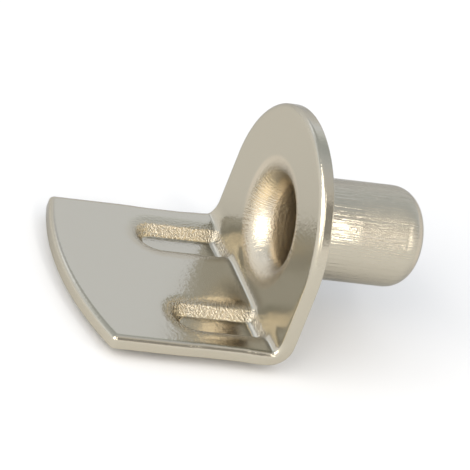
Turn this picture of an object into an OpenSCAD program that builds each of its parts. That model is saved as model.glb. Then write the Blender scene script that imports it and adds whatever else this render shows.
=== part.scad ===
// Shelf support pin, pressed in one piece from steel sheet.
// +X is the pin's axis, towards its tip, and +Z is up. The origin is on that axis,
// in the bearing plate's outer face, which meets the cabinet's side.

/* [Sheet] */
// Thickness of the steel sheet
sheet_t = 0.9; // [0.8:0.05:1.2]
// Width of both plates
plate_w = 14.8; // [12.5:0.5:20]
// Inside radius of the bend between the two plates
bend_r = 0.45; // [0.3:0.05:0.45]
// Width of the die roll that rounds the edges of the inner faces
roll_w = 0.4; // [0.2:0.05:0.5]
// Depth of the die roll
roll_h = 0.3; // [0.1:0.05:0.4]

/* [Seat plate] */
// Reach of the seat, from the bearing plate's inner face to the middle of the free end
seat_reach = 12.3; // [9:0.2:16]
// Radius of the curved free end
end_r = 21.5; // [12:1:40]
// Depth of the seat below the pin's axis
seat_drop = 4.7; // [4.7:0.1:8]
// Radius of the two corners of the free end, seen from above
corner_r = 0.3; // [0.2:0.1:1]

/* [Pin] */
// Diameter of the drawn pin
pin_d = 6.3; // [5:0.05:6.35]
// Length of the pin, from the bearing plate's outer face
pin_len = 8.7; // [6:0.5:12]
// Radius round the pin's nose
nose_r = 1.7; // [1:0.1:2]
// Thickness of the metal at the pin's nose
nose_wall = 0.75; // [0.7:0.05:1.2]
// Thickness of the pin's wall, where the lip ends
pin_wall = 0.75; // [0.75:0.05:1.2]
// Taper of the hollow on each side, in degrees
hollow_taper = 1; // [0.5:0.5:4]
// Radius of the lip where the sheet flows into the pin
lip_r = 1.8; // [1.4:0.1:1.8]

/* [Stiffening beads] */
// Distance between the middles of the two beads
bead_gap = 8.3; // [7.7:0.1:9]
// Width of a bead's mouth in the seat
bead_w = 2.8; // [2.2:0.1:3]
// Width of a bead's flat floor
bead_floor_w = 1.6; // [1:0.1:1.8]
// Depth of a bead below the seat
bead_depth = 0.7; // [0.4:0.05:0.7]
// Length of a bead's mouth along the seat, from the bearing plate's inner face
bead_len = 6.1; // [4.5:0.1:8]
// Inside radius where a bead's floor turns up into the bearing plate
bead_turn_r = 0.8; // [0.8:0.05:1.1]
// Outside radius where a bead's lower face turns up into the bearing plate
bead_heel_r = 0.9; // [0.9:0.05:1.6]
// Outside radius along a bead's lower edges
bead_edge_r = 0.4; // [0.2:0.05:0.6]

/* [Hidden] */
$fn = 96;
seat_z = -seat_drop;
pin_r = pin_d / 2;
// Radius of the lip's mouth in the bearing plate
mouth_r = pin_r - pin_wall + lip_r;
// Slope of a bead's flanks
bead_slope = atan2(bead_depth, (bead_w - bead_floor_w) / 2);
// Half width of a bead's outside at its lower face, where the flanks keep the sheet's thickness
bead_base = bead_floor_w / 2 + sheet_t * tan(bead_slope / 2);
// Radius of the die roll, tangent to the inner face
roll_r = (pow(roll_w, 2) + pow(roll_h, 2)) / (2 * roll_h);
// How far cutting tools stand out past the faces that they cut
over = 0.2;

// Sweeps a section round a fold whose floor lies at floor_z: along the seat for seat_l, round
// the turn, and up for rise_l. The turning centre lies at the distance turn from both inner
// faces, and the section's x is measured from that centre.
module along_fold(floor_z, turn, seat_l, rise_l) {
    translate([-sheet_t - turn, 0, floor_z + turn]) {
        rotate([180, 90, 0]) linear_extrude(seat_l) children();
        rotate([90, 90, 0]) rotate_extrude(angle = 90) children();
        linear_extrude(rise_l) children();
    }
}

// The folded strip, before its ends are shaped
module strip() {
    along_fold(seat_z, bend_r, seat_reach - bend_r, seat_drop - bend_r)
        translate([bend_r, -plate_w / 2]) square([sheet_t, plate_w]);
}

// The round top of the bearing plate, concentric with the pin
module top_end() {
    translate([-sheet_t, 0, 0]) rotate([90, 0, 90]) linear_extrude(sheet_t)
        intersection() {
            circle(plate_w / 2);
            translate([-plate_w, 0]) square([2 * plate_w, plate_w]);
        }
}

// What the curved free end and its round corners leave of the strip
module free_end_limit() {
    corner_y = plate_w / 2 - corner_r;
    corner_angle = asin(corner_y / (end_r - corner_r));
    corner_x = -corner_y / tan(corner_angle);
    reach = 2 * end_r;
    translate([end_r - seat_reach - sheet_t, 0, -plate_w]) linear_extrude(3 * plate_w) {
        intersection() {
            circle(end_r);
            polygon([[0, 0], reach * [-1, tan(corner_angle)], reach * [-1, -tan(corner_angle)]]);
        }
        translate([corner_x, -plate_w]) square([reach, 2 * plate_w]);
        for (side = [-1, 1]) translate([corner_x, side * corner_y]) circle(corner_r);
    }
}

// Section of the metal that the die roll takes off an edge. The edge is at the origin,
// the metal lies at negative x and y, and the inner face is at y = 0.
module roll_section() {
    difference() {
        translate([-roll_w, -roll_h]) square([roll_w + over, roll_h + over]);
        translate([-roll_w, -roll_r]) circle(roll_r);
    }
}

// The die roll along the two long edges, round the top end and round the free end
module die_roll() {
    half_angle = asin(plate_w / 2 / end_r) + 1;
    along_fold(seat_z, bend_r, seat_reach, seat_drop - bend_r)
        for (side = [0, 1]) mirror([0, side])
            translate([bend_r, plate_w / 2]) rotate(90) roll_section();
    rotate([90, 0, 90]) rotate_extrude(angle = 180)
        translate([plate_w / 2, -sheet_t]) mirror([0, 1]) roll_section();
    translate([end_r - seat_reach - sheet_t, 0, seat_z])
        rotate(180 - half_angle) rotate_extrude(angle = 2 * half_angle)
            translate([end_r, 0]) roll_section();
}

// Section of a bead's hollow, from above the seat down to its flat floor. Its x is measured
// from the turning centre, at the distance turn above that floor.
module bead_hollow(turn) {
    mouth_x = turn - bead_depth;
    rise = mouth_x / 2;
    side_y = bead_w / 2 + rise / tan(bead_slope);
    polygon([[mouth_x - rise, -side_y], [turn, -bead_floor_w / 2],
             [turn, bead_floor_w / 2], [mouth_x - rise, side_y]]);
}

// Section of a bead's body, from inside the sheet down to its lower face
module bead_body(turn) {
    base_x = turn + sheet_t;
    top_x = base_x - bead_depth - sheet_t / 6;
    top_y = bead_base + (base_x - top_x) / tan(bead_slope);
    edge_y = bead_base - bead_edge_r * tan(bead_slope / 2);
    flank = [base_x - bead_edge_r * (1 - cos(bead_slope)), edge_y + bead_edge_r * sin(bead_slope)];
    for (side = [0, 1]) mirror([0, side]) {
        polygon([[top_x, 0], [top_x, top_y], flank, [base_x, edge_y], [base_x, 0]]);
        translate([base_x - bead_edge_r, edge_y]) circle(bead_edge_r);
    }
}

// Sweeps a section along a bead: from a round end on the seat, round a turn, and up as far
// as the bend between the plates reaches
module bead(turn) {
    floor_z = seat_z - bead_depth;
    end_x = bead_w / 2 - bead_len;
    along_fold(floor_z, turn, -end_x - turn, bead_depth + bend_r - turn) children();
    translate([end_x - sheet_t, 0, floor_z + turn]) rotate_extrude() intersection() {
        rotate(-90) children();
        translate([0, -plate_w]) square(plate_w);
    }
}

// Everything on the inner side of the strip's mid-plane
module inner_side() {
    core_r = bend_r + sheet_t / 2;
    size = 2 * (seat_reach + plate_w);
    translate([-sheet_t / 2, plate_w / 2, seat_z - sheet_t / 2]) rotate([90, 0, 0])
        linear_extrude(plate_w) {
            translate([-size, core_r]) square(size);
            translate([-size - core_r, 0]) square(size);
            translate([-core_r, core_r]) circle(core_r);
        }
}

module at_each_bead() {
    for (side = [-1, 1]) translate([0, side * bead_gap / 2, 0]) children();
}

// A round bar on the pin's axis, from the sheet's mid-plane to a nose with a round edge
module pin_bar() {
    rotate([90, 0, 90]) rotate_extrude() intersection() {
        union() {
            translate([0, -sheet_t / 2]) square([pin_r, pin_len - nose_r + sheet_t / 2]);
            square([pin_r - nose_r, pin_len]);
            translate([pin_r - nose_r, pin_len - nose_r]) circle(nose_r);
        }
        translate([0, -sheet_t]) square(sheet_t + pin_len);
    }
}

// The pin's hollow: the lip rolls in from the inner face, and a slight taper follows it
module pin_hollow() {
    lip_angle = 90 - hollow_taper;
    lip_end_r = mouth_r - lip_r * sin(lip_angle);
    lip_end_x = lip_r * (1 - cos(lip_angle)) - sheet_t;
    floor_x = pin_len - nose_wall;
    floor_r = lip_end_r - (floor_x - lip_end_x) * tan(hollow_taper);
    rotate([90, 0, 90]) rotate_extrude() {
        polygon([[0, lip_end_x], [lip_end_r, lip_end_x], [floor_r, floor_x], [0, floor_x]]);
        difference() {
            translate([0, -sheet_t - over]) square([mouth_r, lip_end_x + sheet_t + over]);
            translate([mouth_r, lip_r - sheet_t]) circle(lip_r);
        }
    }
}

module support() {
    // A sheet thicker than that outside radius turns about a sharp inner corner
    heel_turn = max(0, bead_heel_r - sheet_t);
    color([0.74, 0.73, 0.70]) difference() {
        union() {
            intersection() {
                union() {
                    strip();
                    top_end();
                }
                free_end_limit();
            }
            difference() {
                at_each_bead() bead(heel_turn) bead_body(heel_turn);
                inner_side();
            }
            pin_bar();
        }
        die_roll();
        at_each_bead() bead(bead_turn_r) bead_hollow(bead_turn_r);
        pin_hollow();
    }
}

support();
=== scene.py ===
# %% [markdown]
# # A shelf support pin, pressed in one piece from nickel-plated steel sheet
# A flat blank is cut from the sheet, two stiffening beads are pressed into it, a pin is drawn
# out of it, and it is folded into a seat plate and a bearing plate. This lesson makes it in
# that order: a flat blank as a mesh, then a Geometry Nodes tree that presses and folds it.
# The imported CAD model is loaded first, because it fixes the place and the size of everything.

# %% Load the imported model
import math

import bmesh
import bpy
import numpy as np
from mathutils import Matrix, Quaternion, Vector
from mathutils.geometry import delaunay_2d_cdt


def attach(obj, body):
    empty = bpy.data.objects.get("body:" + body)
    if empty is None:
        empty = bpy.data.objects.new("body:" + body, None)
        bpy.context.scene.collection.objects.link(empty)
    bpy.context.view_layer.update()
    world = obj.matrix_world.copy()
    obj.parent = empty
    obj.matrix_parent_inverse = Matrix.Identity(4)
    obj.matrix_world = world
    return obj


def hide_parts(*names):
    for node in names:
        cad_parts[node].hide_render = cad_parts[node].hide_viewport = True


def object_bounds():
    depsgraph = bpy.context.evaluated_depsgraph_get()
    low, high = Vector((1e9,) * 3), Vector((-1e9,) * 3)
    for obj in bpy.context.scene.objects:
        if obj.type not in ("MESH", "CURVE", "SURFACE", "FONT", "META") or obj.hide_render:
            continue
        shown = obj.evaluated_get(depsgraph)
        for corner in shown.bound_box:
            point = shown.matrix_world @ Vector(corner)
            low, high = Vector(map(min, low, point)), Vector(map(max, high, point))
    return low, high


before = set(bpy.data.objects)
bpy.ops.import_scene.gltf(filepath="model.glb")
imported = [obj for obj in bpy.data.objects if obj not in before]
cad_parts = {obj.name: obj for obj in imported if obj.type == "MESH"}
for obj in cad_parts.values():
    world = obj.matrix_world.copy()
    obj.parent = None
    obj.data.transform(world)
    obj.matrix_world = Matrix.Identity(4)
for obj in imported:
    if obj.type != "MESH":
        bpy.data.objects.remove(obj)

cad_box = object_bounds()
print("CAD box in metres:", [list(corner) for corner in cad_box])

# %% [markdown]
# ## Sizes
# The sizes are the real part's, in millimetres, with the frame of the CAD model: the origin is
# on the pin's axis in the bearing plate's outer face, +X points to the pin's tip and +Z up.
# The mesh is worked out in millimetres and scaled to metres once, when it becomes an object.

# %% Sizes of the real part
MM = 0.001
sheet = 0.9
plate_width = 14.8
half_width = plate_width / 2
bend_radius = 0.45
seat_reach = 12.3
end_radius = 21.5
seat_height = -4.7
pin_radius = 3.15
pin_length = 8.7
nose_radius = 1.7
nose_wall = 0.75
hollow_radius = 2.4
lip_radius = 1.8
bead_gap = 8.3
bead_width = 2.8
bead_floor_width = 1.6
bead_depth = 0.7
bead_length = 6.1
bead_turn_radius = 0.8
bead_heel_radius = 0.9
bend_back = 0.4
bend_rise = 1.0
shoulder_width = 0.95
shoulder_depth = 0.13
bend_bulge = 0.09
edge_draw = 0.08
print("thickness of the sheet over the bend radius:", sheet / bend_radius)

# %% [markdown]
# ## Camera
# A product picture of so small a thing is taken with a long lens from far away, so that
# parallel edges stay parallel. The camera is placed by two angles, a roll and a distance.
# Its lens follows from how many pixels of a 470-pixel picture one millimetre takes up.

# %% Camera
picture_pixels = 470
pixels_per_mm = 16.285
camera_distance = 998.6
camera_azimuth = -118.44
camera_elevation = 30.50
camera_roll = 21.92
aim = Vector((-3.18, -0.64, -0.81)) * MM


def direction_to(azimuth, elevation):
    """A direction from the support, by its angle round +Z from +X and its height in degrees."""
    azimuth, elevation = math.radians(azimuth), math.radians(elevation)
    return Vector((math.cos(azimuth) * math.cos(elevation),
                   math.sin(azimuth) * math.cos(elevation),
                   math.sin(elevation)))


backwards = direction_to(camera_azimuth, camera_elevation)
camera_data = bpy.data.cameras.new("camera")
camera_data.sensor_width = 36
camera_data.lens = pixels_per_mm * camera_distance / picture_pixels * camera_data.sensor_width
camera_data.clip_start = 0.1
camera = bpy.data.objects.new("camera", camera_data)
camera.rotation_mode = "QUATERNION"
upright = backwards.to_track_quat("Z", "Y")
camera.rotation_quaternion = upright @ Quaternion((0, 0, 1), math.radians(camera_roll))
camera.location = aim + backwards * camera_distance * MM
bpy.context.scene.collection.objects.link(camera)
bpy.context.scene.camera = camera
print("lens:", round(camera_data.lens), "mm")

# %% [markdown]
# ## The blank's outline
# The blank is described as it lies flat on the press: `run` is the distance along the strip,
# from the start of the bend, negative on the seat and positive on the bearing plate; `y` is
# across it, and depth goes down into the sheet from the face that will be on the inside.
# A curve with a bevel could draw such an outline, but the face needs points where the beads and
# the edge rounding will be, so the outline is made from arcs of plain points.

# %% Outline of the blank
bend_run = bend_radius * math.pi / 2
axis_run = bend_run - seat_height - bend_radius
end_centre_run = end_radius - seat_reach + bend_radius
corner_radius = 0.3
outline_step = 0.12


def arc(centre, radius, start, end, step=outline_step):
    """Points on an arc, about a step apart, from one angle in degrees to another."""
    count = max(3, math.ceil(abs(math.radians(end - start)) * radius / step))
    angle = np.radians(np.linspace(start, end, count + 1))
    return np.column_stack([centre[0] + radius * np.cos(angle),
                            centre[1] + radius * np.sin(angle)])


def straight(start, end, step=outline_step):
    """Points between two points, without the two themselves."""
    start, end = np.array(start), np.array(end)
    count = math.ceil(np.linalg.norm(end - start) / step)
    return start + (end - start) * (np.arange(1, count) / count)[:, None]


corner_y = half_width - corner_radius
corner_run = end_centre_run - math.sqrt((end_radius - corner_radius) ** 2 - corner_y ** 2)
corner_turn = 180 - math.degrees(math.asin(corner_y / (end_radius - corner_radius)))
outline = np.vstack([
    arc((axis_run, 0), half_width, -90, 90),
    straight((axis_run, half_width), (corner_run, half_width)),
    arc((corner_run, corner_y), corner_radius, 90, corner_turn, outline_step / 2),
    arc((end_centre_run, 0), end_radius, corner_turn, 360 - corner_turn)[1:-1],
    arc((corner_run, -corner_y), corner_radius, 360 - corner_turn, 270, outline_step / 2),
    straight((corner_run, -half_width), (axis_run, -half_width)),
])
along = np.roll(outline, -1, 0) - np.roll(outline, 1, 0)
inwards = np.column_stack([-along[:, 1], along[:, 0]]) / np.linalg.norm(along, axis=1)[:, None]
print("points round the outline:", len(outline))

# %% [markdown]
# ## Edges of the blank
# A punch first drags the sheet's face down with it, which rounds that edge: the die roll. Then
# it shears a bright wall, and at the far face the metal tears off with a small edge. The die
# roll is made from the distance of each point to the outline, so it also goes round corners.

# %% Die roll and sheared wall
roll_width = 0.4
roll_depth = 0.3
roll_radius = (roll_width ** 2 + roll_depth ** 2) / (2 * roll_depth)
roll_turn = math.asin(roll_width / roll_radius)
roll_insets = roll_width - roll_radius * np.sin(np.linspace(roll_turn, 0, 10))
# Inset from the outline and depth of each row down the sheared wall
wall_rows = [(0, roll_depth), (0, 0.36), (0, 0.45), (0, 0.55), (0, 0.65), (0, 0.75),
             (0, 0.82), (0.005, 0.86), (0.02, 0.885), (0.045, sheet)]


def distance_to_outline(points):
    """Distance of each point from the nearest straight piece of the outline. The points are
    taken in batches, because a table of all points by all pieces would fill the memory."""
    start, piece = outline, np.roll(outline, -1, 0) - outline
    nearest = np.empty(len(points))
    batch = 2000
    for first in range(0, len(points), batch):
        offset = points[first:first + batch, None] - start
        share = np.clip((offset * piece).sum(2) / (piece ** 2).sum(1), 0, 1)
        apart = np.linalg.norm(offset - share[..., None] * piece, axis=2)
        nearest[first:first + batch] = apart.min(1)
    return nearest


def inner_depth(distance):
    """Depth of the inner face at a distance from the outline."""
    reach = np.clip(roll_width - distance, 0, roll_width)
    return roll_radius - np.sqrt(roll_radius ** 2 - reach ** 2)


print("depth at the outline:", inner_depth(np.array([0.0]))[0])

# %% [markdown]
# ## Faces of the blank
# Each face is a field of points joined into triangles by Delaunay's rule, which Blender has
# ready. The field is a plain lattice, but closer rows follow the outline, the bend and the
# beads, and rings follow the pin, so that edges stay crisp and the shading stays even.

# %% Rows along the bend and the beads
bead_start = bend_radius - bead_length + bead_width / 2
bead_zone = 2.5
plain_step = 0.24
row_step = 0.13
turn_step = 0.045
bend_top_run = seat_height + bend_rise + axis_run
turn_runs = np.arange(-0.5, bend_top_run + 0.1, turn_step)
# The rows beside a bead's middle line lie closest together on its flanks
bead_reaches = np.concatenate([np.arange(0, 0.7, 0.14), np.arange(0.7, 1.5, 0.05),
                               np.arange(1.5, bead_zone, 0.14)])


def beside_bead(run, y):
    """How far a point is from the middle line of the nearer bead."""
    return np.hypot(np.abs(y) - bead_gap / 2, np.maximum(bead_start - run, 0))


def lattice():
    """A triangular lattice over the blank, but not on the bend or near a bead."""
    rows = np.arange(-half_width, half_width, plain_step * math.sqrt(0.75))
    runs = np.arange(-seat_reach, axis_run + half_width, plain_step)
    points = np.array([(run + plain_step / 2 * (index % 2), y)
                       for index, y in enumerate(rows) for run in runs])
    run, y = points.T
    on_bend = (run > turn_runs[0] - 0.1) & (run < turn_runs[-1] + 0.1)
    near_bead = (beside_bead(run, y) < bead_zone) & (run < 0)
    return points[~on_bend & ~near_bead]


def bend_rows():
    """Rows along the bend, outside the beads."""
    points = np.array([(run, y) for y in np.arange(-half_width, half_width, row_step)
                       for run in turn_runs])
    return points[beside_bead(*points.T) > bead_zone - 0.05]


def bead_rows():
    """Rows on both sides of each bead's middle line and round its end on the seat."""
    runs = np.concatenate([np.arange(bead_start, turn_runs[0], row_step), turn_runs])
    rows = []
    for side in (-1, 1):
        middle = side * bead_gap / 2
        for reach in bead_reaches:
            rows += [(run, middle + reach) for run in runs]
            if reach > 0:
                rows += [(run, middle - reach) for run in runs]
                rows += arc((bead_start, middle), reach, 90, 270, row_step)[1:-1].tolist()
    return np.array(rows)


field = np.vstack([lattice(), bend_rows(), bead_rows()])
print("points of the field:", len(field))


# %% Points and triangles of a face
ring_count = 168
ring_gap = 0.12
field_gap = 0.05
row_slack = 0.004


def face_points(insets, rings):
    """Rows at these insets from the outline, rings of these radii round the pin's axis, and
    the field in between. A row's points that come too near another side are left out."""
    rows = np.vstack([outline + inwards * inset for inset in insets])
    expected = np.repeat(insets, len(outline))
    rows = rows[distance_to_outline(rows) > expected - row_slack]
    circles = np.vstack([arc((axis_run, 0), radius, 0, 360, math.tau * radius / ring_count)[:-1]
                         for radius in rings])
    from_axis = np.hypot(field[:, 0] - axis_run, field[:, 1])
    from_end_centre = np.hypot(field[:, 0] - end_centre_run, field[:, 1])
    widest = half_width - max(insets) - field_gap
    inside = np.abs(field[:, 1]) < widest
    inside &= from_axis > max(rings) + ring_gap / 2
    inside &= (field[:, 0] < axis_run) | (from_axis < widest)
    inside &= from_end_centre < end_radius - max(insets) - field_gap
    return np.vstack([rows, circles, field[inside]])


def triangles(points, inset, hole_radius):
    """Joins the points. Leaves out the triangles that would close the hole, and the slivers
    between points on the straight sides."""
    made = delaunay_2d_cdt([Vector(point) for point in points], [], [], 0, 1e-6)
    places, faces = np.array([list(place) for place in made[0]]), np.array(made[2])
    hair = 1e-4
    on_hole = np.hypot(places[:, 0] - axis_run, places[:, 1]) < hole_radius + hair
    on_edge = distance_to_outline(places) < inset + hair
    return places, faces[~on_hole[faces].all(axis=1) & ~on_edge[faces].all(axis=1)]


mouth_radius = hollow_radius + lip_radius
root_round = 0.2
root_radius = pin_radius + 0.3
outer_inset = wall_rows[-1][0]
inner_points = face_points([*roll_insets, 0.5], [mouth_radius, mouth_radius + ring_gap])
outer_points = face_points([outer_inset, 0.15, 0.3], [root_radius, root_radius + ring_gap])
inner_places, inner_faces = triangles(inner_points, 0, mouth_radius)
outer_places, outer_faces = triangles(outer_points, outer_inset, root_radius)
print("triangles of the two faces:", len(inner_faces), len(outer_faces))

# %% [markdown]
# ## The drawn pin
# The pin is drawn out of the sheet over a punch, so it has the sheet's own wall, a round nose,
# and behind it a hollow whose mouth rolls in from the inner face. Past the lip the hollow
# narrows like a funnel until it reaches the punch's own width. Outside, the pin is a hair wider
# where it leaves the plate, because the steel is held there and does not close on the punch.
# Anything round can be spun from its profile: each row becomes a ring about the pin's axis.

# %% Profiles of the pin and of its hollow
def quarter(centre, radius, start, end, count):
    """Rows (radius, depth) on an arc of a profile; the angle 0 points away from the axis and
    90 down the pin."""
    angle = np.radians(np.linspace(start, end, count + 1))
    return [(centre[0] + radius * math.cos(a), centre[1] + radius * math.sin(a)) for a in angle]


tip_depth = sheet + pin_length
floor_depth = tip_depth - nose_wall
funnel_taper, funnel_depth = 10, 3.2
flare, flare_length = 0.04, 2.8
lip_rows = quarter((mouth_radius, lip_radius), lip_radius, 270, 180 + funnel_taper, 24)
lip_end_radius, lip_end_depth = lip_rows[-1]
funnel_fall = (funnel_depth - lip_end_depth) * math.tan(math.radians(funnel_taper)) / 2
punch_radius = lip_end_radius - funnel_fall
funnel_shares = np.linspace(0, 1, 12)[1:]
funnel = [(punch_radius + funnel_fall * (1 - share) ** 2,
           lip_end_depth + share * (funnel_depth - lip_end_depth)) for share in funnel_shares]
hollow_walls = [(punch_radius, depth) for depth in np.linspace(funnel_depth, floor_depth, 12)[1:]]
wall_depths = np.linspace(sheet + 0.5, tip_depth - nose_radius, 20)
pin_profile = (
    quarter((root_radius, sheet + root_round), root_round, 270, 195, 5)
    + [(pin_radius + flare * max(0, 1 - (depth - sheet) / flare_length) ** 2, depth)
       for depth in wall_depths]
    + quarter((pin_radius - nose_radius, tip_depth - nose_radius), nose_radius, 0, 90, 18)[1:]
    + [(radius, tip_depth) for radius in (1.2, 0.9, 0.6, 0.3)]
)
hollow_profile = lip_rows + funnel + hollow_walls + [
    (share * punch_radius, floor_depth) for share in (0.8, 0.6, 0.4, 0.2)]
print("hollow's radius at the lip's end and past the funnel:",
      round(lip_end_radius, 2), round(punch_radius, 2))
print("rows of the pin and of its hollow:", len(pin_profile), len(hollow_profile))

# %% [markdown]
# ## Joining the blank
# All the patches meet in shared points, so merging the doubles closes them into one solid. Its
# faces are then turned outwards. A closed solid has two faces on every edge, and its volume is
# the steel in it.

# %% Join the patches into one closed mesh
blank = bmesh.new()


def add_patch(places, faces):
    """Adds points, in millimetres, and the faces that join them."""
    verts = [blank.verts.new(place) for place in places]
    for face in faces:
        blank.faces.new([verts[index] for index in face])


def add_rings(rings):
    """Adds the bands of faces between closed rings that have as many points each."""
    count = len(rings[0])
    starts = range(0, (len(rings) - 1) * count, count)
    add_patch(np.vstack(rings), [
        (start + i, start + (i + 1) % count, start + count + (i + 1) % count, start + count + i)
        for start in starts for i in range(count)])


def spin(profile):
    """Spins a profile about the pin's axis and closes it in the middle."""
    angle = np.radians(np.linspace(0, 360, ring_count + 1))[:-1]
    rings = [np.column_stack([axis_run + radius * np.cos(angle), radius * np.sin(angle),
                              np.full(ring_count, -depth)]) for radius, depth in profile]
    add_rings(rings)
    middle = (axis_run, 0, -profile[-1][1])
    add_patch(rings[-1].tolist() + [middle],
              [(i, (i + 1) % ring_count, ring_count) for i in range(ring_count)])


def describe(label, solid, unit):
    """Prints a mesh's faces, open edges and volume; unit is a millimetre in its own units."""
    open_edges = sum(len(edge.link_faces) != 2 for edge in solid.edges)
    print(label, len(solid.faces), "faces,", open_edges, "open edges,",
          round(solid.calc_volume(signed=True) / unit ** 3, 1), "cubic mm")


inner_depths = inner_depth(distance_to_outline(inner_places))
add_patch(np.column_stack([inner_places, -inner_depths]), inner_faces)
add_patch(np.column_stack([outer_places, np.full(len(outer_places), -sheet)]), outer_faces)
add_rings([np.column_stack([outline + inwards * inset, np.full(len(outline), -depth)])
           for inset, depth in wall_rows])
spin(pin_profile)
spin(hollow_profile)
bmesh.ops.remove_doubles(blank, verts=blank.verts, dist=0.0005)
bmesh.ops.recalc_face_normals(blank, faces=blank.faces)
if blank.calc_volume(signed=True) < 0:
    bmesh.ops.reverse_faces(blank, faces=blank.faces)
describe("blank:", blank, 1)

bmesh.ops.scale(blank, vec=(MM, MM, MM), verts=blank.verts)
blank_mesh = bpy.data.meshes.new("pressed_support")
blank.to_mesh(blank_mesh)
blank.free()
support = bpy.data.objects.new("pressed_support", blank_mesh)
bpy.context.scene.collection.objects.link(support)

# %% [markdown]
# ## Adding nodes
# The press, the finish and the light are node trees. One small function adds a node, gives it
# its settings, and sets or links its inputs in their order; `at` names the inputs that are out
# of order. A node may be given as an input, and then its first output is taken.

# %% A helper that adds a node
def add_node(tree, kind, *inputs, at=None, **settings):
    node = tree.nodes.new(kind)
    for name, value in settings.items():
        setattr(node, name, value)
    for key, value in list(enumerate(inputs)) + list((at or {}).items()):
        if isinstance(value, bpy.types.Node):
            value = value.outputs[0]
        if isinstance(value, bpy.types.NodeSocket):
            tree.links.new(value, node.inputs[key])
        elif value is not None:
            node.inputs[key].default_value = value
    return node


# %% [markdown]
# ## Press and fold
# The two beads repeat, and both they and the fold follow a rule, so Geometry Nodes make them.
# Every point has two places. One is where the plain fold takes it, the other where it goes on
# a bead's floor, which lies deeper and turns up on a wider curve until it runs out in the
# bearing plate. The bead's section decides how far a point goes from one to the other. On the
# lower face the section is wider, because the sheet keeps its thickness on the flanks.

# %% Inputs of the press
press = bpy.data.node_groups.new("press and fold", "GeometryNodeTree")
press.interface.new_socket("Geometry", in_out="INPUT", socket_type="NodeSocketGeometry")
press.interface.new_socket("Geometry", in_out="OUTPUT", socket_type="NodeSocketGeometry")
bead_slope = math.atan2(bead_depth, (bead_width - bead_floor_width) / 2)
# How much longer a bead's lower line, round its heel, is than the strip it is made from
heel_start_run = sheet + bend_radius - bead_heel_radius
heel_top_run = seat_height - bead_depth - sheet + bead_heel_radius + axis_run
heel_extra = heel_start_run + bead_heel_radius * math.pi / 2 - heel_top_run
press_sizes = {
    "Sheet Thickness": sheet * MM,
    "Level Run": (sheet + bend_radius) * MM,
    "Axis Run": axis_run * MM,
    "Seat Height": seat_height * MM,
    "Bend Back": bend_back * MM,
    "Bend Rise": bend_rise * MM,
    "Outer Bend Radius": (sheet + bend_radius) * MM,
    "Bead Gap": bead_gap * MM,
    "Bead Depth": bead_depth * MM,
    "Bead Turn Back": bead_turn_radius * MM,
    "Outer Bead Radius": bead_heel_radius * MM,
    "Heel Extra": heel_extra * MM,
    "Bead Start": bead_start * MM,
    "Mouth Half Width": bead_width / 2 * MM,
    "Floor Half Width": bead_floor_width / 2 * MM,
    "Outer Widening": sheet * math.tan(bead_slope / 2) * MM,
    "Shoulder Width": shoulder_width * MM,
    "Shoulder Depth": shoulder_depth * MM,
    "Bend Bulge": bend_bulge * MM,
    "Edge Draw": edge_draw * MM,
}
for label, size in press_sizes.items():
    socket = press.interface.new_socket(label, in_out="INPUT", socket_type="NodeSocketFloat")
    socket.default_value = size
press.interface.new_socket("Finish", in_out="INPUT", socket_type="NodeSocketMaterial")
press_in = add_node(press, "NodeGroupInput")
size_of = {label: press_in.outputs[label] for label in press_sizes}
print("inputs of the press:", list(press_sizes))

# %% How the edges move
place = add_node(press, "ShaderNodeSeparateXYZ", add_node(press, "GeometryNodeInputPosition"))
run, blank_y, lift = place.outputs
depth = add_node(press, "ShaderNodeMath", lift, -1, operation="MULTIPLY")
depth_share = add_node(press, "ShaderNodeMath", depth, size_of["Sheet Thickness"],
                       operation="DIVIDE", use_clamp=True)
side = add_node(press, "ShaderNodeMath", blank_y, operation="SIGN")
side_y = add_node(press, "ShaderNodeMath", blank_y, operation="ABSOLUTE")


def window(start, rise_end, fall_start, end):
    """1 between rise_end and fall_start along the strip, and 0 before start and past end."""
    rise = add_node(press, "ShaderNodeMapRange", run, start * MM, rise_end * MM, 0, 1,
                    interpolation_type="SMOOTHSTEP")
    fall = add_node(press, "ShaderNodeMapRange", run, fall_start * MM, end * MM, 1, 0,
                    interpolation_type="SMOOTHSTEP")
    return add_node(press, "ShaderNodeMath", rise, fall, operation="MULTIPLY")


# Folding squeezes the sheet's inner side out at the bend's two ends and pulls its outer side
# in. The beads take steel from the seat's edges beside them.
edge_zone = 1.2
outer_pull = -0.6
at_bend = window(-0.6, 0.3, 0.4, 1.3)
beside_beads = window(-6, -4, -2, -0.6)
near_edge = add_node(press, "ShaderNodeMapRange", side_y, (half_width - edge_zone) * MM,
                     half_width * MM, 0, 1, interpolation_type="SMOOTHSTEP")
squeeze = add_node(press, "ShaderNodeMapRange", depth_share, 0, 1, 1, outer_pull)
bulge = add_node(press, "ShaderNodeMath", size_of["Bend Bulge"], squeeze, operation="MULTIPLY")
bulge = add_node(press, "ShaderNodeMath", bulge, at_bend, operation="MULTIPLY")
draw = add_node(press, "ShaderNodeMath", size_of["Edge Draw"], beside_beads,
                operation="MULTIPLY")
shift = add_node(press, "ShaderNodeMath", bulge, draw, operation="SUBTRACT")
shift = add_node(press, "ShaderNodeMath", shift, near_edge, operation="MULTIPLY")
across = add_node(press, "ShaderNodeMath", shift, side, blank_y, operation="MULTIPLY_ADD")
print("the edges move within this many mm of a side:", edge_zone)

# %% The fold
stretch_from = bend_radius - bead_turn_radius
quarter_turn = math.pi / 2


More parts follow.
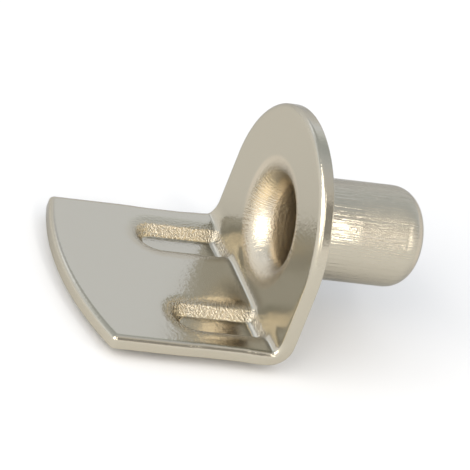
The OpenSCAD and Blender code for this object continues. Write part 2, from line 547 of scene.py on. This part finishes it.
def folded_line(foot, floor_height, back, up, extra):
    """A line along the strip: level at floor_height, then round a quarter of an ellipse that
    is back wide and up high, then upright at the distance foot behind the outer face. It is
    longer than the strip by extra, which it gains evenly between the turns of all lines."""
    gained = add_node(press, "ShaderNodeMapRange", run, stretch_from * MM, bend_top_run * MM,
                      0, extra)
    reached = add_node(press, "ShaderNodeMath", run, gained, operation="ADD")
    start = add_node(press, "ShaderNodeMath", size_of["Level Run"], foot, operation="SUBTRACT")
    start = add_node(press, "ShaderNodeMath", start, back, operation="SUBTRACT")
    top = add_node(press, "ShaderNodeMath", floor_height, up, operation="ADD")
    end = add_node(press, "ShaderNodeMath", top, size_of["Axis Run"], operation="ADD")
    end = add_node(press, "ShaderNodeMath", end, extra, operation="ADD")
    share = add_node(press, "ShaderNodeMapRange", reached, start, end, 0, quarter_turn)
    sine = add_node(press, "ShaderNodeMath", share, operation="SINE")
    cosine = add_node(press, "ShaderNodeMath", share, operation="COSINE")
    before = add_node(press, "ShaderNodeMath", reached, start, operation="SUBTRACT")
    before = add_node(press, "ShaderNodeMath", before, 0, operation="MINIMUM")
    after = add_node(press, "ShaderNodeMath", reached, end, operation="SUBTRACT")
    after = add_node(press, "ShaderNodeMath", after, 0, operation="MAXIMUM")
    reach = add_node(press, "ShaderNodeMath", sine, 1, operation="SUBTRACT")
    x = add_node(press, "ShaderNodeMath", reach, back, before, operation="MULTIPLY_ADD")
    x = add_node(press, "ShaderNodeMath", x, foot, operation="SUBTRACT")
    fall = add_node(press, "ShaderNodeMath", cosine, up, operation="MULTIPLY")
    z = add_node(press, "ShaderNodeMath", after, fall, operation="SUBTRACT")
    z = add_node(press, "ShaderNodeMath", z, top, operation="ADD")
    return add_node(press, "ShaderNodeCombineXYZ", x, across, z)


def folded_sheet(floor_height, back, up, outer_radius, outer_extra):
    """The place of each point in the sheet, between its inner and its outer line."""
    inner = folded_line(size_of["Sheet Thickness"], floor_height, back, up, 0)
    under = add_node(press, "ShaderNodeMath", floor_height, size_of["Sheet Thickness"],
                     operation="SUBTRACT")
    outer = folded_line(0, under, outer_radius, outer_radius, outer_extra)
    through = add_node(press, "ShaderNodeVectorMath", outer, inner, operation="SUBTRACT")
    share = add_node(press, "ShaderNodeMath", depth, size_of["Sheet Thickness"],
                     operation="DIVIDE")
    return add_node(press, "ShaderNodeVectorMath", through, share, inner,
                    operation="MULTIPLY_ADD")


plain_fold = folded_sheet(size_of["Seat Height"], size_of["Bend Back"], size_of["Bend Rise"],
                          size_of["Outer Bend Radius"], 0)
bead_floor = add_node(press, "ShaderNodeMath", size_of["Seat Height"], size_of["Bead Depth"],
                      operation="SUBTRACT")
bead_rise = add_node(press, "ShaderNodeMath", size_of["Bend Rise"], size_of["Bead Depth"],
                     operation="ADD")
floor_fold = folded_sheet(bead_floor, size_of["Bead Turn Back"], bead_rise,
                          size_of["Outer Bead Radius"], size_of["Heel Extra"])
print("nodes of the press so far:", len(press.nodes))

# %% The bead's section
centre_y = add_node(press, "ShaderNodeMath", size_of["Bead Gap"], 2, operation="DIVIDE")
beside = add_node(press, "ShaderNodeMath", side_y, centre_y, operation="SUBTRACT")
before_start = add_node(press, "ShaderNodeMath", size_of["Bead Start"], run, operation="SUBTRACT")
beyond_end = add_node(press, "ShaderNodeMath", before_start, 0, operation="MAXIMUM")
apart = add_node(press, "ShaderNodeCombineXYZ", beside, beyond_end, 0)
to_bead = add_node(press, "ShaderNodeVectorMath", apart, operation="LENGTH").outputs["Value"]
widening = add_node(press, "ShaderNodeMath", depth_share, size_of["Outer Widening"],
                    operation="MULTIPLY")
reach = add_node(press, "ShaderNodeMath", to_bead, widening, operation="SUBTRACT")
shoulder_share = add_node(press, "ShaderNodeMath", size_of["Shoulder Depth"],
                          size_of["Bead Depth"], operation="DIVIDE")
flank = add_node(press, "ShaderNodeMapRange", reach, size_of["Mouth Half Width"],
                 size_of["Floor Half Width"], shoulder_share, 1)
shoulder_end = add_node(press, "ShaderNodeMath", size_of["Mouth Half Width"],
                        size_of["Shoulder Width"], operation="ADD")
climb = add_node(press, "ShaderNodeMapRange", reach, shoulder_end, size_of["Mouth Half Width"],
                 0, 1)
climb = add_node(press, "ShaderNodeMath", climb, 2, operation="POWER")
shoulder_fall = add_node(press, "ShaderNodeMath", shoulder_share, climb, operation="MULTIPLY")
in_mouth = add_node(press, "ShaderNodeMath", reach, size_of["Mouth Half Width"],
                    operation="LESS_THAN")
bead_share = add_node(press, "ShaderNodeMix", in_mouth, at={"A": shoulder_fall, "B": flank},
                      data_type="FLOAT")
print("slope of a bead's flank in degrees:", round(math.degrees(bead_slope)))
to_floor = add_node(press, "ShaderNodeVectorMath", floor_fold, plain_fold, operation="SUBTRACT")
pressed_place = add_node(press, "ShaderNodeVectorMath", to_floor, bead_share, plain_fold,
                         operation="MULTIPLY_ADD")

# %% Note where the beads are, move the points and finish the piece
runs_out = add_node(press, "ShaderNodeMapRange", run, 0, bend_run * MM, 1, 0,
                    interpolation_type="SMOOTHSTEP")
note = add_node(press, "ShaderNodeMath", bead_share, runs_out, operation="MULTIPLY")
noted = add_node(press, "GeometryNodeStoreNamedAttribute", press_in.outputs["Geometry"],
                 data_type="FLOAT", domain="POINT", at={"Name": "bead_share", "Value": note})
moved = add_node(press, "GeometryNodeSetPosition", noted, at={"Position": pressed_place})
smooth = add_node(press, "GeometryNodeSetShadeSmooth", moved)
real = add_node(press, "GeometryNodeRealizeInstances", smooth)
finished = add_node(press, "GeometryNodeSetMaterial", real,
                    at={"Material": press_in.outputs["Finish"]})
add_node(press, "NodeGroupOutput", finished)
print("nodes of the press:", len(press.nodes))

# %% [markdown]
# ## The finish: bright nickel plate on pressed steel
# The support is barrel-plated with nickel after pressing. Nickel is a warm, slightly yellow
# white metal: it throws back less blue than red. The plate is thin, so it copies what the
# press left in the steel. The plates keep the faint orange peel of rolled sheet. Where the
# sheet was stretched, on the beads' flanks and round the lip, its grain comes out as a fine
# sparkle, and its colour is painted lighter and warmer there: a painted reflection of the warm
# light that the metal throws onto itself. The draw leaves marks along the pin, and the
# pin is bright next to the plate, where the die ironed it, and duller towards its nose.
# These are height fields far finer than the mesh, so they are bump, in millimetres.

# %% Colours
def colour(code):
    """A colour written as in a web page, turned from sRGB to the linear values of a shader."""
    parts = [int(code[i:i + 2], 16) / 255 for i in (1, 3, 5)]
    return tuple(p / 12.92 if p <= 0.04045 else ((p + 0.055) / 1.055) ** 2.4 for p in parts) + (1,)


print("nickel in linear values:", [round(value, 3) for value in colour("#BDB6A5")[:3]])

# %% Where the metal was worked
nickel = bpy.data.materials.new("bright nickel plate on steel")
nickel.use_nodes = True
plate = nickel.node_tree
plate.nodes.clear()
object_place = add_node(plate, "ShaderNodeTexCoord").outputs["Object"]
place_mm = add_node(plate, "ShaderNodeVectorMath", object_place, operation="SCALE",
                    at={"Scale": 1 / MM})
x_mm, y_mm, z_mm = add_node(plate, "ShaderNodeSeparateXYZ", place_mm).outputs
off_axis = add_node(plate, "ShaderNodeCombineXYZ", 0, y_mm, z_mm)
from_axis = add_node(plate, "ShaderNodeVectorMath", off_axis, operation="LENGTH").outputs["Value"]
around = add_node(plate, "ShaderNodeVectorMath", off_axis, operation="NORMALIZE")

# A radius and a depth inside the steel tell the hollow's surface from the pin's
wall_inside, wall_outside, nose_middle = 2.8, 2.95, 8.3
before_nose = add_node(plate, "ShaderNodeMath", x_mm, nose_middle, operation="LESS_THAN")
in_hollow = add_node(plate, "ShaderNodeMapRange", from_axis, wall_outside, wall_inside, 0, 1)
in_hollow = add_node(plate, "ShaderNodeMath", in_hollow, before_nose, operation="MULTIPLY")
inside_sheet = add_node(plate, "ShaderNodeMath", x_mm, -0.05, operation="LESS_THAN")
on_lip = add_node(plate, "ShaderNodeMapRange", from_axis, mouth_radius + 0.05,
                  mouth_radius - 0.2, 0, 1)
on_lip = add_node(plate, "ShaderNodeMath", on_lip, inside_sheet, operation="MULTIPLY")
on_lip = add_node(plate, "ShaderNodeMath", on_lip, in_hollow, operation="MAXIMUM")
on_pin = add_node(plate, "ShaderNodeMapRange", x_mm, 0.02, 0.1, 0, 1)
on_pin = add_node(plate, "ShaderNodeMath", on_pin, in_hollow, operation="SUBTRACT", use_clamp=True)
bead_note = add_node(plate, "ShaderNodeAttribute", attribute_name="bead_share").outputs["Fac"]
stretch = add_node(plate, "ShaderNodeMath", 1, bead_note, operation="SUBTRACT")
stretch = add_node(plate, "ShaderNodeMath", stretch, bead_note, operation="MULTIPLY")
on_flank = add_node(plate, "ShaderNodeMath", stretch, 5, operation="MULTIPLY", use_clamp=True)
worked = add_node(plate, "ShaderNodeMath", on_flank, on_lip, operation="MAXIMUM")
print("the hollow's mouth reaches this far from the axis, in mm:", mouth_radius)

# %% What the press left on the surface
# Orange peel measures some 0.05 mm, stretched grain 0.03 mm and a draw mark 0.02 mm across.
# All three are too fine to show in the picture, so they are drawn as coarse as they need to
# be, and as steep as the eye reads them. The marks run along the pin on a slightly slanted
# heading, so that each fades out and another begins. The duller part of the pin starts on a
# ragged line.
# The spread is the last of the steel's flow out of the plate into the pin, drawn steeper than
# it is: it leaves the outline alone and turns the light next to the plate.
peel_size, peel_height = 0.28, 0.012
grain_size, grain_height = 0.15, 0.08
flank_grain, lip_grain, pin_grain = 1.5, 0.3, 0.5
mark_width, mark_length, mark_height = 0.16, 5.0, 0.055
lip_marks = 0.6
mark_heading = (0.6, 0.5, 0.62)
ragged_size, ragged_reach = 0.9, 1.5
dull_start, dull_end = 2.5, 4.5
spread_length, spread_height, spread_curve = 4.1, 0.56, 1.15
print("slope of a draw mark's side:", round(mark_height / mark_width, 2))


def rise_and_fall(vector, scale, detail, height, before):
    """A noise about zero, as high as this in millimetres, on top of what was there before."""
    noise = add_node(plate, "ShaderNodeTexNoise", at={
        "Vector": vector, "Scale": scale, "Detail": detail, "Roughness": 0.6})
    about_zero = add_node(plate, "ShaderNodeMath", noise, 0.5, operation="SUBTRACT")
    return add_node(plate, "ShaderNodeMath", about_zero, height, before, operation="MULTIPLY_ADD")


mark_around = add_node(plate, "ShaderNodeVectorMath", around, operation="SCALE",
                       at={"Scale": pin_radius / mark_width})
lengths_along = add_node(plate, "ShaderNodeMath", x_mm, mark_length, operation="DIVIDE")
mark_along = add_node(plate, "ShaderNodeVectorMath", mark_heading, operation="SCALE",
                      at={"Scale": lengths_along})
mark_place = add_node(plate, "ShaderNodeVectorMath", mark_around, mark_along, operation="ADD")
ragged_x = rise_and_fall(place_mm, 1 / ragged_size, 2, ragged_reach, x_mm)
dulled = add_node(plate, "ShaderNodeMapRange", ragged_x, dull_start, dull_end, 0, 1,
                  interpolation_type="SMOOTHSTEP")
dulled = add_node(plate, "ShaderNodeMath", dulled, on_pin, operation="MULTIPLY")
off_nose = add_node(plate, "ShaderNodeMath", x_mm, pin_length - nose_radius,
                    operation="LESS_THAN")
grain_share = add_node(plate, "ShaderNodeMath", dulled, off_nose, operation="MULTIPLY")
grain_share = add_node(plate, "ShaderNodeMath", grain_share, pin_grain, operation="MULTIPLY")
on_bead = add_node(plate, "ShaderNodeMath", on_flank, flank_grain, operation="MULTIPLY")
grain_share = add_node(plate, "ShaderNodeMath", grain_share, on_bead, operation="MAXIMUM")
grain_share = add_node(plate, "ShaderNodeMix", on_lip, at={"A": grain_share, "B": lip_grain},
                       data_type="FLOAT")
grain_share = add_node(plate, "ShaderNodeMath", grain_share, grain_height, operation="MULTIPLY")
mark_share = add_node(plate, "ShaderNodeMath", on_lip, lip_marks, operation="MULTIPLY")
mark_share = add_node(plate, "ShaderNodeMath", mark_share, on_pin, operation="MAXIMUM")
off_centre = add_node(plate, "ShaderNodeMapRange", from_axis, 1.2, 2.5, 0, mark_height)
mark_share = add_node(plate, "ShaderNodeMath", mark_share, off_centre, operation="MULTIPLY")
spread = add_node(plate, "ShaderNodeMapRange", x_mm, 0, spread_length, 1, 0)
spread = add_node(plate, "ShaderNodeMath", spread, spread_curve, operation="POWER")
spread = add_node(plate, "ShaderNodeMath", spread, on_pin, operation="MULTIPLY")
spread = add_node(plate, "ShaderNodeMath", spread, spread_height, operation="MULTIPLY")
relief = rise_and_fall(place_mm, 1 / peel_size, 2, peel_height, spread)
relief = rise_and_fall(place_mm, 1 / grain_size, 2, grain_share, relief)
relief = rise_and_fall(mark_place, 1, 3, mark_share, relief)
bump = add_node(plate, "ShaderNodeBump", at={"Strength": 1, "Distance": MM, "Height": relief})

# %% Nickel plate
plain_roughness, worked_roughness = 0.2, 0.26
pin_roughness, dulled_roughness = 0.17, 0.24
# How much of the painted reflection, a lighter and warmer colour, the beads' flanks get
flank_painted_reflection = 0.4
of_plates = add_node(plate, "ShaderNodeMix", worked, data_type="FLOAT",
                     at={"A": plain_roughness, "B": worked_roughness})
of_pin = add_node(plate, "ShaderNodeMix", dulled, data_type="FLOAT",
                  at={"A": pin_roughness, "B": dulled_roughness})
roughness = add_node(plate, "ShaderNodeMix", on_pin, data_type="FLOAT",
                     at={"A": of_plates, "B": of_pin})

# Sockets 6 and 7 of a Mix node, and its output 2, are the ones for colours
# Painted reflection: the flanks and the lip get a lighter, warmer colour for the warm light the
# metal throws onto itself there
painted_reflection_share = add_node(plate, "ShaderNodeMath", on_flank, flank_painted_reflection, operation="MULTIPLY")
painted_reflection_share = add_node(plate, "ShaderNodeMath", painted_reflection_share, on_lip, operation="MAXIMUM")
tone = add_node(plate, "ShaderNodeMix", painted_reflection_share, at={6: colour("#BDB6A5"), 7: colour("#CFC4B0")},
                data_type="RGBA").outputs[2]
metal = add_node(plate, "ShaderNodeBsdfPrincipled", at={
    "Base Color": tone, "Metallic": 1, "Roughness": roughness,
    "Specular Tint": (0.62, 0.62, 0.62, 1), "Normal": bump})
add_node(plate, "ShaderNodeOutputMaterial", metal)
print("nodes of the nickel:", len(plate.nodes))

# %% [markdown]
# ## Pressing the blank
# The modifier gets its sizes by the identifiers of its inputs, before anything evaluates it.
# The evaluated object then gives a plain mesh, and the modifier is taken off again. Pressing
# must not open an edge. It adds some 6 percent to the volume: the fold adds 2.4, because its
# outside is longer than the blank, and the beads the rest, because they keep the sheet's
# thickness while they stretch it.

# %% Press the blank
modifier = support.modifiers.new("press and fold", "NODES")
modifier.node_group = press
press_values = {**press_sizes, "Finish": nickel}
for item in press.interface.items_tree:
    if item.in_out == "INPUT" and item.name in press_values:
        modifier[item.identifier] = press_values[item.name]
evaluated = support.evaluated_get(bpy.context.evaluated_depsgraph_get())
pressed_mesh = bpy.data.meshes.new_from_object(evaluated)
support.modifiers.clear()
support.data = pressed_mesh
pressed = bmesh.new()
pressed.from_mesh(pressed_mesh)
describe("pressed:", pressed, MM)
pressed.free()

# %% [markdown]
# ## The floor
# The support lies on a table of matt white paint: it throws the light back in all directions,
# fills the undersides and keeps the soft shadow where the support touches it. The bearing
# plate copies the table, so its tone sets that plate's brightness.

# %% Floor
white = bpy.data.materials.new("matt white paint")
white.use_nodes = True
paint = white.node_tree.nodes["Principled BSDF"]
paint.inputs["Base Color"].default_value = colour("#ECECEC")
paint.inputs["Roughness"].default_value = 0.9
floor_mesh = bpy.data.meshes.new("floor")
floor_half = 1.5
floor_level = cad_box[0].z
floor_corners = [(x * floor_half, y * floor_half, floor_level)
                 for x, y in ((-1, -1), (1, -1), (1, 1), (-1, 1))]
floor_mesh.from_pydata(floor_corners, [], [(0, 1, 2, 3)])
floor_mesh.materials.append(white)
floor = bpy.data.objects.new("floor", floor_mesh)
bpy.context.scene.collection.objects.link(floor)
print("the floor's level in mm:", round(floor_level / MM, 2))

# %% [markdown]
# ## The studio round it
# A mirror shows nothing of its own, so bright metal is lit by what stands round it. Here that
# is a tent of white panels, bright low down and dim overhead. A ramp over the top, from the
# back to the front, gives the panels' light. A few round spots raise or lower it where one
# part of the support looks, as a studio hangs black and white cards for a single edge.

# %% World
world = bpy.data.worlds.new("studio")
bpy.context.scene.world = world
world.use_nodes = True
sky = world.node_tree
sky.nodes.clear()
direction = add_node(sky, "ShaderNodeTexCoord").outputs["Generated"]
to_back, to_top = add_node(sky, "ShaderNodeSeparateXYZ", direction).outputs[1:]
over_top = add_node(sky, "ShaderNodeMath", to_top, to_back, operation="ARCTAN2")
over_top = add_node(sky, "ShaderNodeMath", over_top, math.pi, operation="DIVIDE")
panels = add_node(sky, "ShaderNodeValToRGB", over_top)
# How far each stop lies from the back, over the top, to the front, and its light
panel_stops = [
    (0.0, (0.90, 0.92, 0.96)), (0.15, (0.88, 0.90, 0.94)), (0.178, (0.98, 1.055, 1.22)),
    (0.203, (0.98, 1.055, 1.22)), (0.25, (0.84, 0.90, 0.96)), (0.315, (0.54, 0.59, 0.63)),
    (0.36, (0.52, 0.57, 0.62)), (0.44, (0.65, 0.70, 0.77)), (0.52, (0.74, 0.76, 0.80)),
    (0.62, (0.72, 0.71, 0.70)), (0.74, (0.72, 0.71, 0.70)), (0.79, (0.88, 0.86, 0.85)),
    (0.93, (1.12, 1.10, 1.09)), (1.0, (1.10, 1.09, 1.08))]
stops = panels.color_ramp.elements
while len(stops) < len(panel_stops):
    stops.new(1)
for stop, (share, light) in zip(stops, panel_stops):
    stop.position = share
    stop.color = (*light, 1)


def spot(azimuth, elevation, full, none, change, before):
    """Adds this change to the level before, in a round spot of the sky: in full within one
    angle of its middle, and none of it past another."""
    middle = direction_to(azimuth, elevation)
    toward = add_node(sky, "ShaderNodeVectorMath", direction, middle, operation="DOT_PRODUCT")
    near = toward.outputs["Value"]
    near = add_node(sky, "ShaderNodeMapRange", near, math.cos(math.radians(none)),
                    math.cos(math.radians(full)), 0, 1, interpolation_type="SMOOTHSTEP")
    return add_node(sky, "ShaderNodeMath", near, change, before, operation="MULTIPLY_ADD")


# Azimuth, elevation, full within, none past and change of each spot, and what shows it
spots = [
    (-59, 35, 11, 23, -0.75),  # the pin's side, and the line along the seat's front edge
    (-120, 38, 6, 22, 1.0),    # the hollow's mouth and the beads' flanks
    (98, 42, 7, 18, -0.35),    # the bend's upper part and the free end's edge
    (115, 33, 5, 12, 0.4),     # the lower bearing plate, and the seat's picture of it
    (132, 2, 12, 24, 0.1),     # the bend
    (180, 5, 15, 40, 0.2),     # the left of the hollow's mouth
]
level = 1.09
for row in spots:
    level = spot(*row, level)
add_node(sky, "ShaderNodeOutputWorld", add_node(sky, "ShaderNodeBackground", panels, level))
print("panels over the top:", len(stops), "and spots:", len(spots))

# %% [markdown]
# ## The lamps
# A highlight in metal is a picture of a lamp, so each lamp is as wide and as high as its
# highlight asks. Three soft boxes with slightly warm light do it: the large one on the left
# fills the hollow's mouth and draws the line along the bearing plate's edge, the tall strip in
# front lights the rear flanks of the beads, and the small one on the right lights the pin's
# side, most of all next to the plate.

# %% Lamps
box_distance = 0.5
warm_light = (1, 0.955, 0.89)


def soft_box(label, azimuth, elevation, lean, width, height, radiance):
    """A soft box this wide and high in metres, facing the support and leaning by an angle.
    Its power follows from its size, so that its face stays as bright whatever that is."""
    box_data = bpy.data.lights.new(label, "AREA")
    box_data.shape = "RECTANGLE"
    box_data.size, box_data.size_y = width, height
    box_data.color = warm_light
    box_data.energy = radiance * math.pi * width * height
    box = bpy.data.objects.new(label, box_data)
    towards = direction_to(azimuth, elevation)
    box.location = towards * box_distance
    box.rotation_mode = "QUATERNION"
    upright = towards.to_track_quat("Z", "Y")
    box.rotation_quaternion = upright @ Quaternion((0, 0, 1), math.radians(lean))
    bpy.context.scene.collection.objects.link(box)


soft_box("left soft box", -157, 33, 0, 0.48, 0.42, 3.0)
soft_box("front strip box", -84, 40, -15, 0.055, 0.46, 5.5)
soft_box("right soft box", -41, 28, 0, 0.07, 0.15, 9)

# %% [markdown]
# ## Handing over
# The finished support takes the place of the CAD node and rides on the CAD body.

# %% Hand over
bpy.context.scene.view_settings.view_transform = "Standard"
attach(support, "root")
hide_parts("support")
